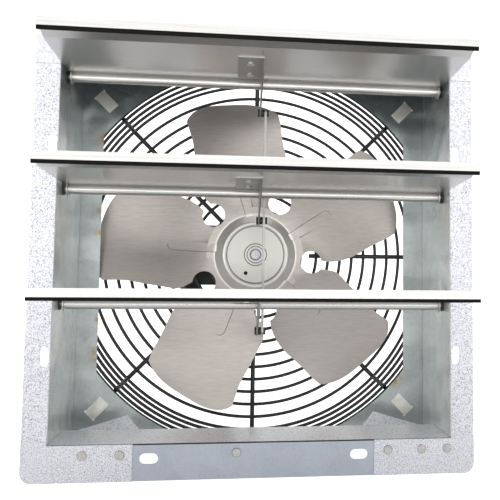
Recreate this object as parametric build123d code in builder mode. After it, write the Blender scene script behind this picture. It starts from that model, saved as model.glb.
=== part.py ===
"""Shutter exhaust fan: folded sheet box with three linked gravity shutters, a wire guard
and a motor behind it that carries a five-blade pressed fan.

Frame: the origin is the centre of the wall seat, on the back face of the flange.
+X is right as seen from the shutter side, +Y runs into the box, +Z is up. Millimetres.
The model stands with the shutters open.
"""
import os
from math import atan2, cos, radians, sin, sqrt, tan

from build123d import *

os.makedirs("parts", exist_ok=True)

# Box and flange
box_inside = 335.0
flange_width = 20.0
box_depth = 93.0
sheet = 1.0
rail_step = 9.5
flange_corner_r = 9.0
leg_length = 87.5
joggle_lap = 3.0
seam_gap = 0.3
sill_depth = 54.0
top_ledge_depth = 9.0
strip_width = 19.5
tab_reach_shares = (0.705, 0.635)
tab_height = 14.5
opening_margin = 17.5

# Slots in the flange
slot_length = 15.0
rail_slot_width = 8.5
rail_slot_seam_gap = 5.5
rail_slot_inset = 17.7
side_slot_width = 6.6
side_slot_spacing = 175.0

# Rivets in the flange
rivet_shank_r = 2.0
rivet_head_r = 4.0
rivet_head_height = 1.2
rivet_clear = 0.05
rivet_inset = 21.2
rivet_place_shares = (-0.745, -0.587, -0.085, 0.597, 0.753, 0.873)

# Shutters, measured forward of and above the hinge axis
hinge_depth = 23.2
hinge_top_drop = 17.1
shutter_overlap = 6.0
closed_gap = 8.4
shutter_sheet = 0.8
shutter_rise = 16.0
crease_inset = 20.8
crease_rise = 7.2
lip_height = 6.5
shutter_side_gap = 1.2
tube_r = 4.25
tube_inset = 4.7
seal_thick = 2.0
seal_height = 6.4
seal_show = 2.7

# Shutter pivots
pivot_pin_r = 2.0
pivot_pin_grip = 14.0
pivot_run_clear = 0.05
washer_r = 6.3
washer_thick = 1.0
washer_gap = 0.1
bush_flange_r = 5.2
bush_flange_thick = 1.3
bush_barrel_r = 4.0
bush_tail = 4.0

# Link brackets, pins and tie bar
bracket_sheet = 1.2
bracket_width = 21.4
bracket_start = 10.0
bracket_end = 63.0
leaf_depth = 1.2
leaf_left = -0.3
leaf_boss_r = 4.5
leaf_tube_clear = 0.9
bracket_rivet_r = 1.6
bracket_rivet_head_r = 3.2
bracket_rivet_head_height = 0.9
bracket_rivet_place_shares = (0.2, 0.72)
link_back = 8.2
link_drop = 23.6
link_pin_r = 2.0
link_head_r = 3.5
link_head_thick = 1.4
link_spacer_r = 3.4
tie_bar_gap = 0.2
tie_bar_offset = 3.2
tie_bar_thick = 2.0
tie_bar_width = 6.4
link_collar_r = 3.2
link_collar_thick = 1.6
link_run_clear = 0.06
open_pivot_clear = 0.3

# Wire guard
ring_wire_r = 1.6
strut_wire_r = 2.2
weld_sink = 0.5
guard_depth = 34.5
guard_motor_gap = 14.8
guard_ring_count = 9
guard_taper = 11.3
guard_bend_ring_set = 0.4
guard_rim_lap = 1.3
guard_rim_clear = 0.05
guard_side_rings = 4
strut_count = 8
strut_corner_inset = 0.6
strut_bend_r = 2.5
short_strut_tail = 8.0
long_strut_lap = 8.0

# Guard clips, on the diagonals
clip_width = 11.5
clip_sheet = 1.2
clip_front_margin = 11.0
clip_slot_margin = 30.0
clip_hook_lap = 1.1
clip_slot_clear = 0.3

# Fan
fan_tip_margin = 31.5
blade_count = 5
first_rib_angle = 32.6
blade_sheet = 1.5
hub_disc_set = 29.0
bead_r = 30.4
bead_height = 1.6
bead_half_width = 2.8
slope_r = 40.0
dish_r = 48.0
dish_depth = 6.0
blade_mid_setbacks = (6.7, 5.8, 5.0, 4.9)
blade_cambers = (0.5, 2.5, 3.5, 3.5)
blade_pitch_degrees = (2.0, 15.0, 15.0, 14.0)
blade_station_shares = (0.25, 0.42, 0.69, 1.03)
blade_lead_width = 62.0
blade_trail_width = 52.0
blade_lead_degrees = (-31.0, -36.4, -37.0, -35.6, -33.0, -30.3, -27.5, -25.2, -23.0)
blade_lead_r_shares = (0.27, 0.42, 0.50, 0.57, 0.65, 0.71, 0.78, 0.87, 0.95)
blade_trail_degrees = (13.6, 14.4, 15.6, 17.8, 20.5, 24.3, 27.6, 28.0, 27.0, 24.0)
blade_trail_r_shares = (0.96, 0.88, 0.81, 0.74, 0.67, 0.59, 0.53, 0.47, 0.39, 0.27)
blade_corner_degrees = (-16.5, 9.5)
blade_corner_r_shares = (0.985, 1.0)
root_notch_r = 11.2
root_notch_place_r = 57.0
root_notch_degrees = 32.7
rib_width = 8.4
rib_height = 1.6
rib_flare = 1.5
rib_crest = 1.5
rib_side_degrees = 30.0
rib_shift = 3.8
rib_start_r = 30.0
rib_end_r = 85.5
balance_hole_r = 1.9
balance_hole_place_r = 20.5
balance_hole_degrees = -117.0

# Hub, shaft and rotor
shaft_r = 5.0
shaft_nose = 3.0
hub_boss_r = 11.2
hub_nose_r = 8.3
hub_front_land = 1.2
hub_flange_r = 18.0
hub_flange_thick = 3.0
hub_length = 20.0
set_screw_r = 2.5
fit_clear = 0.03
air_gap = 0.4

# Motor
motor_r = 49.0
motor_wall = 3.0
mount_plate_thick = 2.5
bell_length = 21.0
bell_end_wall = 4.0
shell_length = 38.0
spigot_step = 1.5
bearing_r = 13.0
bearing_width = 8.0
bearing_boss_wall = 3.5
bearing_chamfer = 0.4
core_length = 32.0
core_share = 0.51
slot_count = 12
slot_share = 0.065
slot_circle_share = 0.653
winding_shares = (0.571, 0.806)
winding_height = 7.0
through_bolt_r = 2.0
through_bolt_inset = 5.6
through_bolt_head_r = 3.6
through_bolt_head_height = 3.0
through_bolt_clear = 0.3
mount_nut_r = 3.8
mount_nut_height = 2.7
bolt_past_nut = 0.5
vent_count = 8
vent_width = 5.0
vent_length = 12.0
vent_circle_r = 31.0

# Terminal box on the left of the motor
terminal_box_reach = 36.0
terminal_box_height = 62.0
terminal_box_depth = 46.0
terminal_box_wall = 2.0
terminal_box_set = 9.1
saddle_reach = 12.25
saddle_gap = 20.0
terminal_cover_thick = 2.0
cover_screw_r = 1.5
cover_screw_head_r = 2.8
cover_screw_head_height = 1.6
cover_screw_length = 7.5
cover_screw_inset = 5.0
screw_post_r = 3.6
screw_post_length = 8.5
capacitor_r = 12.0
capacitor_end_gap = 6.0
block_length = 18.0
block_width = 12.0
block_height = 9.0
gland_hole_r = 8.0
gland_collar_r = 11.0
gland_collar_height = 5.0
gland_length = 18.0
gland_bore_r = 3.5
gland_nut_r = 10.5
gland_nut_height = 8.0
gland_thread_clear = 0.1

overrun = 1.0

# Places worked out from the sizes above
box_half = box_inside / 2
box_outer = box_half + sheet
flange_half = box_half + flange_width
flange_size = 2 * flange_half
leg_seam = flange_half - leg_length
rail_inner = box_half - rail_step
rail_height = flange_half - rail_inner
opening_r = box_outer + opening_margin
strip_inner = box_outer - strip_width - sheet
return_front = box_depth - sheet
floor_half = box_half - seam_gap
panel_inside = box_half
hinge_top_height = box_half - hinge_top_drop
hinge_pitch = (hinge_top_height + rail_inner - shutter_overlap - closed_gap) / 3
shutter_reach = hinge_pitch + shutter_overlap
crease_reach = shutter_reach - crease_inset
hinge_heights = {
    "top": hinge_top_height,
    "middle": hinge_top_height - hinge_pitch,
    "bottom": hinge_top_height - 2 * hinge_pitch,
}
shutter_half = box_half - shutter_side_gap
tube_half = box_half - tube_inset
panel_angle = atan2(crease_rise - (tube_r - shutter_sheet), crease_reach)
side_slot_x = box_outer + rivet_clear + side_slot_width / 2
rail_slot_z = flange_half - rail_slot_inset
rivet_z = flange_half - rivet_inset
rivet_places = [share * flange_half for share in rivet_place_shares]
rail_slot_x = leg_seam - rail_slot_seam_gap - slot_length / 2
guard_rim_r = opening_r + guard_rim_lap
guard_bend_ring_r = guard_rim_r - guard_taper
guard_back = box_depth + guard_depth
hub_disc_front = guard_back - hub_disc_set
fan_r = opening_r - fan_tip_margin
through_bolt_circle_r = motor_r - through_bolt_inset


def save(solid, name):
    """Label a finished piece and write its file."""
    solid.label = name
    export_step(solid, f"parts/{name}.step")


def front_plane(depth):
    """Plane seen from the shutter side, X to the right and Z up, at a depth in the box."""
    return Plane(origin=(0, depth, 0), x_dir=(1, 0, 0), z_dir=(0, -1, 0))


def side_plane(x):
    """Plane seen from the right, its X along the depth and its Y up, at a place across the box."""
    return Plane(origin=(x, 0, 0), x_dir=(0, 1, 0), z_dir=(1, 0, 0))


# Side members: flange strip with a leg at the top and bottom, side wall, and a rear
# return that widens into a wing at each corner
def build_side_member(rivet_places):
    """The right-hand member, with rivet holes at the given places from the middle."""
    wing_x = sqrt(opening_r**2 - box_outer**2)
    arc_z = sqrt(opening_r**2 - strip_inner**2)
    arc_mid = opening_r * cos((atan2(arc_z, strip_inner) + atan2(box_outer, wing_x)) / 2)
    arc_mid_z = sqrt(opening_r**2 - arc_mid**2)
    slot_z = side_slot_spacing / 2
    clip_slot_r = opening_r + clip_slot_margin + clip_sheet / 2
    with BuildPart() as member:
        with BuildSketch(front_plane(0)):
            with Locations(((box_half + flange_half) / 2, 0)):
                Rectangle(flange_half - box_half, 2 * (rail_inner - seam_gap))
        extrude(amount=sheet)
        with BuildSketch(front_plane(-sheet)):
            with Locations(((leg_seam + flange_half) / 2, (rail_inner + flange_half) / 2)):
                Rectangle(flange_half - leg_seam, rail_height)
            with Locations(((box_half + flange_half) / 2, rail_inner - joggle_lap / 2)):
                Rectangle(flange_half - box_half, joggle_lap)
            mirror(about=Plane.XZ)
            corners = vertices().group_by(Axis.X)[-1]
            outer = [v for v in corners if abs(abs(v.Y) - flange_half) < sheet]
            fillet(outer, radius=flange_corner_r)
        extrude(amount=sheet)
        with BuildSketch(side_plane(box_half)):
            with Locations((box_depth / 2 + seam_gap / 2, 0)):
                Rectangle(box_depth - seam_gap, 2 * box_outer)
            with Locations((-sheet / 2 + seam_gap / 2, 0)):
                Rectangle(sheet + seam_gap, 2 * (rail_inner - seam_gap))
        extrude(amount=sheet)
        with BuildSketch(front_plane(box_depth)):
            with BuildLine():
                Line((strip_inner, -arc_z), (strip_inner, arc_z))
                ThreePointArc((strip_inner, arc_z), (arc_mid, arc_mid_z), (wing_x, box_outer))
                Polyline(
                    (wing_x, box_outer),
                    (box_outer, box_outer),
                    (box_outer, -box_outer),
                    (wing_x, -box_outer),
                )
                ThreePointArc((wing_x, -box_outer), (arc_mid, -arc_mid_z), (strip_inner, -arc_z))
            make_face()
            for side in (1, -1):
                with Locations(Rotation(0, 0, side * 45)):
                    with Locations((clip_slot_r, 0)):
                        Rectangle(
                            clip_sheet + 2 * clip_slot_clear,
                            clip_width + 2 * clip_slot_clear,
                            mode=Mode.SUBTRACT,
                        )
        extrude(amount=sheet)
        with BuildSketch(front_plane(0)):
            with Locations((side_slot_x, slot_z), (side_slot_x, -slot_z)):
                SlotOverall(slot_length, side_slot_width, rotation=90)
        extrude(amount=sheet + overrun, mode=Mode.SUBTRACT)
        with BuildSketch(front_plane(0)):
            for place in rivet_places:
                with Locations((place, rivet_z), (place, -rivet_z)):
                    Circle(rivet_shank_r + rivet_clear)
        extrude(amount=2 * sheet + overrun, mode=Mode.SUBTRACT)
        with BuildSketch(side_plane(box_half - overrun)):
            for height in hinge_heights.values():
                with Locations((hinge_depth, height)):
                    Circle(bush_barrel_r)
        extrude(amount=sheet + 2 * overrun, mode=Mode.SUBTRACT)
    return member.part


right_places = [place for place in rivet_places if place > leg_seam]
left_places = [-place for place in rivet_places if place < -leg_seam]
save(build_side_member(right_places), "side_member_right")
save(mirror(build_side_member(left_places), about=Plane.YZ), "side_member_left")


# Top and bottom panels: flange, ledge, step, floor and two corner tabs
def build_rail_panel(ledge_depth):
    """The bottom panel. The top one is the same piece turned over, with a short ledge."""
    with BuildPart() as panel:
        with BuildSketch(front_plane(0)):
            with Locations((0, -(rail_inner + flange_half) / 2)):
                Rectangle(flange_size, rail_height)
            fillet(vertices().group_by(Axis.Y)[0], radius=flange_corner_r)
            with Locations((-rail_slot_x, -rail_slot_z), (rail_slot_x, -rail_slot_z)):
                SlotOverall(slot_length, rail_slot_width, mode=Mode.SUBTRACT)
            for place in rivet_places:
                with Locations((place, -rivet_z)):
                    Circle(rivet_shank_r + rivet_clear, mode=Mode.SUBTRACT)
        extrude(amount=sheet)
        with BuildSketch(side_plane(-floor_half)):
            with BuildLine():
                Polyline(
                    (-sheet, -rail_inner),
                    (ledge_depth, -rail_inner),
                    (ledge_depth, -panel_inside),
                    (return_front, -panel_inside),
                    (return_front, -box_outer),
                    (ledge_depth - sheet, -box_outer),
                    (ledge_depth - sheet, -rail_inner - sheet),
                    (-sheet, -rail_inner - sheet),
                    close=True,
                )
            make_face()
        extrude(amount=2 * floor_half)
        with BuildSketch(front_plane(return_front)):
            with BuildLine():
                Polyline(
                    (floor_half, -box_outer),
                    (floor_half, -panel_inside),
                    (tab_reach_shares[0] * floor_half, -panel_inside + tab_height),
                    (tab_reach_shares[1] * floor_half, -panel_inside),
                    (tab_reach_shares[1] * floor_half, -box_outer),
                    close=True,
                )
            make_face()
            mirror(about=Plane.YZ)
        extrude(amount=sheet)
    return panel.part


bottom_panel = build_rail_panel(sill_depth)
save(bottom_panel, "bottom_panel")
top_panel = mirror(build_rail_panel(top_ledge_depth), about=Plane.XY)
save(top_panel, "top_panel")


# Rivets that hold the flange together, flush at the wall seat
with BuildPart() as flange_rivets:
    for place in rivet_places:
        seat = 2 * sheet if abs(place) > leg_seam else sheet
        with BuildSketch(front_plane(0)):
            with Locations((place, rivet_z), (place, -rivet_z)):
                Circle(rivet_shank_r)
        extrude(amount=seat)
        with BuildSketch(front_plane(-seat)):
            with Locations((place, rivet_z), (place, -rivet_z)):
                Circle(rivet_head_r)
        extrude(amount=rivet_head_height, taper=30)
save(flange_rivets.part, "flange_rivets")


# Plastic pivot bushes in the side walls
with BuildPart() as pivot_bushes:
    for height in hinge_heights.values():
        with BuildSketch(side_plane(box_half - bush_flange_thick)):
            with Locations((hinge_depth, height)):
                Circle(bush_flange_r)
        extrude(amount=bush_flange_thick)
        with BuildSketch(side_plane(box_half)):
            with Locations((hinge_depth, height)):
                Circle(bush_barrel_r)
        extrude(amount=bush_tail)
        with BuildSketch(side_plane(box_half - bush_flange_thick)):
            with Locations((hinge_depth, height)):
                Circle(pivot_pin_r + pivot_run_clear)
        extrude(amount=bush_flange_thick + bush_tail, mode=Mode.SUBTRACT)
    mirror(about=Plane.YZ)
save(pivot_bushes.part, "pivot_bushes")


# One shutter set, built at its own hinge height
def shutter_point(reach, rise, height):
    """A point of a shutter's section, forward of and above its hinge axis."""
    return (hinge_depth - reach, height + rise)


def underside_rise(reach):
    """Height of the shutter's underside over the hinge axis, behind the crease."""
    root_rise = tube_r - shutter_sheet
    return root_rise + reach * (crease_rise - root_rise) / crease_reach


def shutter_normal_plane(x, reach, rise, height):
    """Plane square to the shutter's flat, at a place along it."""
    y, z = shutter_point(reach, rise, height)
    return Plane(origin=(x, y, z), x_dir=(1, 0, 0), z_dir=(0, sin(panel_angle), cos(panel_angle)))


def build_shutter(height):
    strip_fall = shutter_sheet * (shutter_rise - crease_rise) / (shutter_reach - crease_reach)
    inner_rise = shutter_rise - shutter_sheet - strip_fall
    section = (
        (0, tube_r),
        (crease_reach, crease_rise + shutter_sheet),
        (shutter_reach, shutter_rise),
        (shutter_reach, shutter_rise - lip_height),
        (shutter_reach - shutter_sheet, shutter_rise - lip_height),
        (shutter_reach - shutter_sheet, inner_rise),
        (crease_reach, crease_rise),
        (0, tube_r - shutter_sheet),
    )
    rivet_x = leaf_left + leaf_depth - bracket_width / 2
    with BuildPart() as shutter:
        with BuildSketch(side_plane(-shutter_half)):
            with BuildLine():
                Polyline(*[shutter_point(a, b, height) for a, b in section], close=True)
            make_face()
        extrude(amount=2 * shutter_half)
        with BuildSketch(side_plane(-tube_half)):
            with Locations(shutter_point(0, 0, height)):
                Circle(tube_r)
                Circle(tube_r - shutter_sheet, mode=Mode.SUBTRACT)
        extrude(amount=2 * tube_half)
        for share in bracket_rivet_place_shares:
            reach = bracket_start + share * (bracket_end - bracket_start)
            with BuildSketch(shutter_normal_plane(rivet_x, reach, underside_rise(reach), height)):
                Circle(bracket_rivet_r + rivet_clear)
            extrude(amount=shutter_sheet + overrun, both=True, mode=Mode.SUBTRACT)
        for side in (1, -1):
            with BuildSketch(side_plane(side * tube_half)):
                with Locations(shutter_point(0, 0, height)):
                    Circle(washer_r + open_pivot_clear)
            extrude(amount=side * tube_inset, mode=Mode.SUBTRACT)
    return shutter.part


def build_seal(height):
    behind_lip = shutter_reach - shutter_sheet
    low = shutter_rise - lip_height - seal_show
    with BuildPart() as seal:
        with BuildSketch(side_plane(-shutter_half)):
            with BuildLine():
                Polyline(
                    shutter_point(behind_lip, low, height),
                    shutter_point(behind_lip, low + seal_height, height),
                    shutter_point(behind_lip - seal_thick, low + seal_height, height),
                    shutter_point(behind_lip - seal_thick, low, height),
                    close=True,
                )
            make_face()
        extrude(amount=2 * shutter_half)
    return seal.part


def build_pivot_pins(height):
    with BuildPart() as pins:
        with BuildSketch(side_plane(tube_half - pivot_pin_grip)):
            with Locations((hinge_depth, height)):
                Circle(tube_r - shutter_sheet)
        extrude(amount=pivot_pin_grip)
        with BuildSketch(side_plane(tube_half)):
            with Locations((hinge_depth, height)):
                Circle(pivot_pin_r)
        extrude(amount=box_half - tube_half + bush_tail)
        mirror(about=Plane.YZ)
    return pins.part


def build_washers(height):
    with BuildPart() as washers:
        with BuildSketch(side_plane(tube_half + washer_gap)):
            with Locations((hinge_depth, height)):
                Circle(washer_r)
                Circle(pivot_pin_r + rivet_clear, mode=Mode.SUBTRACT)
        extrude(amount=washer_thick)
        mirror(about=Plane.YZ)
    return washers.part


def build_link_bracket(height):
    leaf_right = leaf_left + leaf_depth
    plate = (
        (bracket_start, underside_rise(bracket_start)),
        (bracket_end, underside_rise(bracket_end)),
        (bracket_end, underside_rise(bracket_end) - bracket_sheet),
        (bracket_start, underside_rise(bracket_start) - bracket_sheet),
    )
    leaf = (
        (bracket_start, underside_rise(bracket_start)),
        (bracket_end, underside_rise(bracket_end)),
        (bracket_end - 2 * leaf_boss_r, underside_rise(bracket_end) - 2 * leaf_boss_r),
        (-link_back + leaf_boss_r * sin(panel_angle), -link_drop - leaf_boss_r),
        (-link_back - leaf_boss_r, -link_drop),
        (tube_r, -tube_r),
    )
    rivet_x = leaf_right - bracket_width / 2
    with BuildPart() as bracket:
        with BuildSketch(side_plane(leaf_right - bracket_width)):
            with BuildLine():
                Polyline(*[shutter_point(a, b, height) for a, b in plate], close=True)
            make_face()
        extrude(amount=bracket_width)
        with BuildSketch(side_plane(leaf_left)):
            with BuildLine():
                Polyline(*[shutter_point(a, b, height) for a, b in leaf], close=True)
            make_face()
            with Locations(shutter_point(-link_back, -link_drop, height)):
                Circle(leaf_boss_r)
                Circle(link_pin_r, mode=Mode.SUBTRACT)
            with Locations(shutter_point(0, 0, height)):
                Circle(tube_r + leaf_tube_clear, mode=Mode.SUBTRACT)
        extrude(amount=leaf_depth)
        for share in bracket_rivet_place_shares:
            reach = bracket_start + share * (bracket_end - bracket_start)
            with BuildSketch(shutter_normal_plane(rivet_x, reach, underside_rise(reach), height)):
                Circle(bracket_rivet_r + rivet_clear)
            extrude(amount=bracket_sheet + overrun, both=True, mode=Mode.SUBTRACT)
    return bracket.part


def build_bracket_rivets(height):
    rivet_x = leaf_left + leaf_depth - bracket_width / 2
    with BuildPart() as rivets:
        for share in bracket_rivet_place_shares:
            reach = bracket_start + share * (bracket_end - bracket_start)
            seat = shutter_normal_plane(rivet_x, reach, underside_rise(reach), height)
            grip_top = shutter_sheet * cos(panel_angle)
            grip_low = bracket_sheet * cos(panel_angle)
            with BuildSketch(seat.offset(-grip_low)):
                Circle(bracket_rivet_r)
            extrude(amount=grip_top + grip_low)
            with BuildSketch(seat.offset(grip_top), seat.offset(-grip_low - bracket_rivet_head_height)):
                Circle(bracket_rivet_head_r)
            extrude(amount=bracket_rivet_head_height)
    return rivets.part


def build_link_pin(height):
    """Plastic snap pin: head, shoulder between leaf and bar, and collar outside the bar."""
    leaf_right = leaf_left + leaf_depth
    bar_left = leaf_right + tie_bar_offset
    bar_right = bar_left + tie_bar_thick
    centre = shutter_point(-link_back, -link_drop, height)
    lengths = (
        (leaf_left - link_head_thick, link_head_r, link_head_thick),
        (leaf_left, link_pin_r, bar_right + 2 * tie_bar_gap - leaf_left),
        (leaf_right, link_spacer_r, tie_bar_offset - tie_bar_gap),
        (bar_right + tie_bar_gap, link_collar_r, link_collar_thick),
    )
    with BuildPart() as pin:
        for start, radius, length in lengths:
            with BuildSketch(side_plane(start)):
                with Locations(centre):
                    Circle(radius)
            extrude(amount=length)
    return pin.part


for place, hinge_height in hinge_heights.items():
    save(build_shutter(hinge_height), f"shutter_{place}")
    save(build_seal(hinge_height), f"seal_strip_{place}")
    save(build_pivot_pins(hinge_height), f"pivot_pins_{place}")
    save(build_washers(hinge_height), f"pivot_washers_{place}")
    save(build_link_bracket(hinge_height), f"link_bracket_{place}")
    save(build_bracket_rivets(hinge_height), f"bracket_rivets_{place}")
    save(build_link_pin(hinge_height), f"link_pin_{place}")


# Tie bar: a flat bar on edge that links the three brackets. It turns on the top pin and
# has room round the other two
with BuildPart() as tie_bar:
    pin_places = [
        shutter_point(-link_back, -link_drop, height) for height in hinge_heights.values()
    ]
    with BuildSketch(side_plane(leaf_left + leaf_depth + tie_bar_offset)):
        with Locations((hinge_depth + link_back, hinge_heights["middle"] - link_drop)):
            SlotOverall(2 * hinge_pitch + tie_bar_width, tie_bar_width, rotation=90)
        with Locations(pin_places[0]):
            Circle(link_pin_r + link_run_clear, mode=Mode.SUBTRACT)
        with Locations(*pin_places[1:]):
            Circle(link_pin_r + open_pivot_clear, mode=Mode.SUBTRACT)
    extrude(amount=tie_bar_thick)
save(tie_bar.part, "tie_bar")


# Wire guard: rings on the flat back, rings round the tapered side, and struts inside them.
# The wires are welded where they cross, so each ring is set a little into the struts
rim_depth = box_depth + strut_wire_r + guard_rim_clear
side_depth = guard_back - guard_bend_ring_set - rim_depth
side_angle = atan2(side_depth, guard_rim_r - guard_bend_ring_r)
wire_step = ring_wire_r + strut_wire_r - weld_sink
strut_depth = guard_back - wire_step
first_ring_r = motor_r + guard_motor_gap
ring_step = (guard_bend_ring_r - first_ring_r) / guard_ring_count


def ring_plane(depth):
    """Plane for a ring, turned so that its seam lies between two struts."""
    turn = radians(180 / strut_count)
    return Plane(origin=(0, depth, 0), x_dir=(cos(turn), 0, sin(turn)), z_dir=(0, -1, 0))


with BuildPart() as guard_rings:
    for index in range(guard_ring_count):
        with Locations(ring_plane(guard_back).location):
            Torus(first_ring_r + index * ring_step, ring_wire_r)
    with Locations(ring_plane(guard_back - guard_bend_ring_set).location):
        Torus(guard_bend_ring_r, ring_wire_r)
save(guard_rings.part, "guard_rings")

with BuildPart() as guard_side_hoops:
    for index in range(guard_side_rings):
        share = index / guard_side_rings
        radius = guard_rim_r + share * (guard_bend_ring_r - guard_rim_r)
        with Locations(ring_plane(rim_depth + share * side_depth).location):
            Torus(radius, ring_wire_r if index else strut_wire_r)
save(guard_side_hoops.part, "guard_side_rings")

with BuildPart() as guard_struts:
    strut_end_r = guard_rim_r - wire_step * sin(side_angle)
    strut_end_depth = rim_depth - wire_step * cos(side_angle) + strut_wire_r
    for index in range(strut_count):
        turn = 360 * index / strut_count
        start_r = motor_r - long_strut_lap if index % 2 else first_ring_r - short_strut_tail
        radial = Plane.XY.rotated((0, -turn, 0))
        with BuildLine(radial) as route:
            FilletPolyline(
                (start_r, strut_depth),
                (guard_bend_ring_r - strut_corner_inset, strut_depth),
                (strut_end_r, strut_end_depth),
                radius=strut_bend_r,
            )
        with BuildSketch(Plane(origin=route.line @ 0, z_dir=route.line % 0)):
            Circle(strut_wire_r)
        sweep(path=route.line)
save(guard_struts.part, "guard_struts")


# Clips that hold the guard's rim against the corner wings
with BuildPart() as guard_clips:
    hook_depth = box_depth + 2 * strut_wire_r + 2 * guard_rim_clear
    clip_inner_r = opening_r + clip_front_margin
    clip_outer_r = opening_r + clip_slot_margin
    clip_hook_r = guard_rim_r - clip_hook_lap
    for index in range(4):
        turn = 45 + 90 * index
        radial = Plane.XY.rotated((0, -turn, 0))
        with BuildSketch(radial.offset(-clip_width / 2)):
            with BuildLine():
                Polyline(
                    (clip_inner_r, return_front - clip_sheet),
                    (clip_outer_r + clip_sheet, return_front - clip_sheet),
                    (clip_outer_r + clip_sheet, hook_depth + clip_sheet),
                    (clip_hook_r, hook_depth + clip_sheet),
                    (clip_hook_r, hook_depth),
                    (clip_outer_r, hook_depth),
                    (clip_outer_r, return_front),
                    (clip_inner_r, return_front),
                    close=True,
                )
            make_face()
        extrude(amount=clip_width)
save(guard_clips.part, "guard_clips")


# Motor mount plate, welded to the four long struts
plate_front = strut_depth + strut_wire_r
plate_rear = plate_front + mount_plate_thick
shell_front = plate_rear + bell_length
shell_rear = shell_front + shell_length
motor_rear = shell_rear + bell_length
core_front = (shell_front + shell_rear - core_length) / 2
core_rear = core_front + core_length
wire_hole_depth = (shell_front + shell_rear) / 2
core_r = core_share * motor_r
slot_r = slot_share * motor_r
slot_circle_r = slot_circle_share * motor_r
winding_inner_r, winding_outer_r = [share * motor_r for share in winding_shares]
terminal_box_start = plate_rear + terminal_box_set
capacitor_length = terminal_box_depth - 2 * terminal_box_wall - capacitor_end_gap

with BuildPart() as motor_mount_plate:
    with BuildSketch(front_plane(plate_rear)):
        Circle(motor_r)
        Circle(hub_boss_r, mode=Mode.SUBTRACT)
        with PolarLocations(through_bolt_circle_r, 4):
            Circle(through_bolt_r + rivet_clear, mode=Mode.SUBTRACT)
    extrude(amount=mount_plate_thick)
save(motor_mount_plate.part, "motor_mount_plate")


# Motor bells: cups that carry the bearings, the rear one turned round and vented
def build_bell(end_depth, outward):
    """A bell whose closed end is at end_depth. outward is -1 for the front, 1 for the rear."""
    inside = end_depth - outward * bell_end_wall
    open_end = end_depth - outward * bell_length
    boss_end = inside - outward * bearing_width
    with BuildPart() as bell:
        with BuildSketch(side_plane(0)):
            with BuildLine():
                Polyline(
                    (end_depth, shaft_r + overrun),
                    (end_depth, motor_r),
                    (open_end, motor_r),
                    (open_end, motor_r - motor_wall),
                    (inside, motor_r - motor_wall),
                    (inside, bearing_r + bearing_boss_wall),
                    (boss_end, bearing_r + bearing_boss_wall),
                    (boss_end, bearing_r),
                    (inside, bearing_r),
                    (inside, shaft_r + overrun),
                    close=True,
                )
            make_face()
        revolve(axis=Axis.Y)
        rim = bell.edges().filter_by(GeomType.CIRCLE).group_by(SortBy.RADIUS)[-1]
        chamfer(rim.sort_by(Axis.Y)[0 if outward < 0 else -1], length=motor_wall / 2)
        with BuildSketch(front_plane(end_depth + overrun)):
            with PolarLocations(through_bolt_circle_r, 4):
                Circle(through_bolt_r + rivet_clear)
            if outward > 0:
                with PolarLocations(vent_circle_r, vent_count):
                    SlotOverall(vent_length, vent_width)
        extrude(amount=bell_length + 2 * overrun, both=True, mode=Mode.SUBTRACT)
    return bell.part


save(build_bell(plate_rear, -1), "motor_front_bell")
save(build_bell(motor_rear, 1), "motor_rear_bell")

with BuildPart() as motor_shell:
    with BuildSketch(front_plane(shell_rear)):
        Circle(motor_r)
        Circle(motor_r - motor_wall, mode=Mode.SUBTRACT)
    extrude(amount=shell_length)
    with BuildSketch(side_plane(-motor_r - overrun)):
        with Locations((wire_hole_depth, 0)):
            Circle(gland_bore_r)
    extrude(amount=motor_r / 2, mode=Mode.SUBTRACT)
save(motor_shell.part, "motor_shell")


# Stator: slotted core and the winding through its slots
with BuildPart() as stator_core:
    with BuildSketch(front_plane(core_rear)):
        Circle(motor_r - motor_wall)
        Circle(core_r + air_gap, mode=Mode.SUBTRACT)
        with PolarLocations(slot_circle_r, slot_count):
            Circle(slot_r, mode=Mode.SUBTRACT)
        with PolarLocations(through_bolt_circle_r, 4):
            Circle(through_bolt_r + through_bolt_clear, mode=Mode.SUBTRACT)
    extrude(amount=core_length)
save(stator_core.part, "stator_core")

with BuildPart() as stator_windings:
    with BuildSketch(front_plane(core_rear)):
        with PolarLocations(slot_circle_r, slot_count):
            Circle(slot_r)
    extrude(amount=core_length)
    with BuildSketch(front_plane(core_front), front_plane(core_rear + winding_height)):
        Circle(winding_outer_r)
        Circle(winding_inner_r, mode=Mode.SUBTRACT)
    extrude(amount=winding_height)
save(stator_windings.part, "stator_windings")

for name, rear in (
    ("front_bearing", plate_rear + bell_end_wall + bearing_width),
    ("rear_bearing", motor_rear - bell_end_wall),
):
    with BuildPart() as bearing:
        with BuildSketch(front_plane(rear)):
            Circle(bearing_r)
            Circle(shaft_r + fit_clear, mode=Mode.SUBTRACT)
        extrude(amount=bearing_width)
        rims = bearing.edges().filter_by(GeomType.CIRCLE).group_by(SortBy.RADIUS)[-1]
        chamfer(rims, length=bearing_chamfer)
    save(bearing.part, name)


# Long bolts that clamp the bells, and the nuts that fix the motor to the plate
with BuildPart() as motor_through_bolts:
    with BuildSketch(front_plane(motor_rear)):
        with PolarLocations(through_bolt_circle_r, 4):
            Circle(through_bolt_r)
    extrude(amount=motor_rear - plate_front + mount_nut_height + bolt_past_nut)
    with BuildSketch(front_plane(motor_rear + through_bolt_head_height)):
        with PolarLocations(through_bolt_circle_r, 4):
            RegularPolygon(through_bolt_head_r, 6)
    extrude(amount=through_bolt_head_height)
save(motor_through_bolts.part, "motor_through_bolts")

with BuildPart() as motor_mount_nuts:
    with BuildSketch(front_plane(plate_front)):
        with PolarLocations(through_bolt_circle_r, 4):
            RegularPolygon(mount_nut_r, 6)
            Circle(through_bolt_r + rivet_clear, mode=Mode.SUBTRACT)
    extrude(amount=mount_nut_height)
save(motor_mount_nuts.part, "motor_mount_nuts")


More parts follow.
